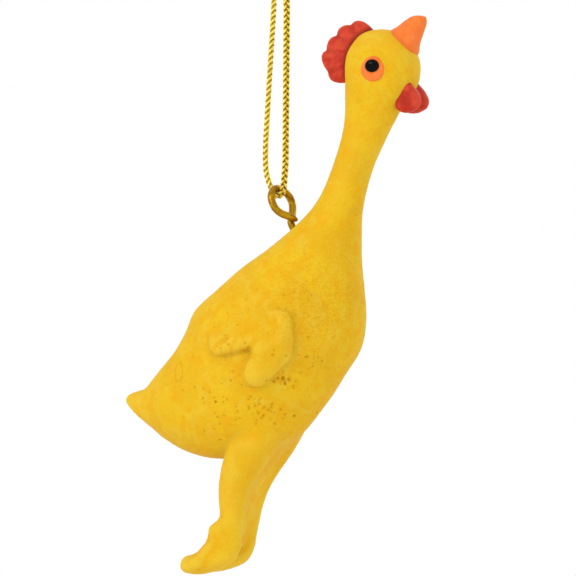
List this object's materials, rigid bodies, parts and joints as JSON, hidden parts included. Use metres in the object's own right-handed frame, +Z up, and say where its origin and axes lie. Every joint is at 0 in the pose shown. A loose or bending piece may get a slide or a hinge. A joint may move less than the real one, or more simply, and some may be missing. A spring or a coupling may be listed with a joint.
{
  "type": "hanging chicken ornament",
  "caption": "Stiff painted ornament shaped like a plucked rubber chicken, hung by a brass screw eye in its back from a gold cord loop.",
  "frame": {"origin": "underside of the cord's knot, where the ornament is held up", "axes": "+Z up along the hanging cord; +X towards the figure's breast and beak; -Y is the figure's right side"},
  "size_m": [0.0601, 0.0288, 0.1262],
  "materials": {
    "yellow_paint": "matte hand-painted resin, slightly worn, with fine casting pits",
    "red_paint": "satin red paint, brushed",
    "orange_paint": "satin orange paint",
    "black_gloss": "glossy black enamel dot",
    "brass_wire": "aged brass wire",
    "gold_cord": "braided gold metallic cord"
  },
  "bodies": {
    "hang_point": {"cord_knot": "gold_cord"},
    "cord_loop": {"hanging_cord": "gold_cord"},
    "screw_eye": {"screw_eye": "brass_wire"},
    "figure": {"body_casting": "yellow_paint", "comb": "red_paint", "beak": "orange_paint", "wattle_right": "red_paint", "wattle_left": "red_paint", "eye_ring_right": "orange_paint", "eye_ring_left": "orange_paint", "pupil_right": "black_gloss", "pupil_left": "black_gloss", "wing_right": "yellow_paint", "wing_left": "yellow_paint", "leg_right": "yellow_paint", "leg_left": "yellow_paint"}
  },
  "joints": [
    {"name": "cord_twist", "type": "hinge", "parent": "hang_point", "child": "cord_loop", "pos_m": [0, 0, 0], "axis": [0, 0, 1], "range_deg": [-180, 180], "stiffness_Nm_per_rad": 0.00005},
    {"name": "eye_swing", "type": "hinge", "parent": "cord_loop", "child": "screw_eye", "pos_m": [-0.0002, 0.0004, -0.0451], "axis": [0.3714, 0.9285, 0], "range_deg": [-12, 60]},
    {"name": "eye_turn", "type": "hinge", "parent": "screw_eye", "child": "figure", "pos_m": [0.00079, 0, -0.04763], "axis": [-0.4147, 0, 0.91], "range_deg": [-90, 90]}
  ]
}
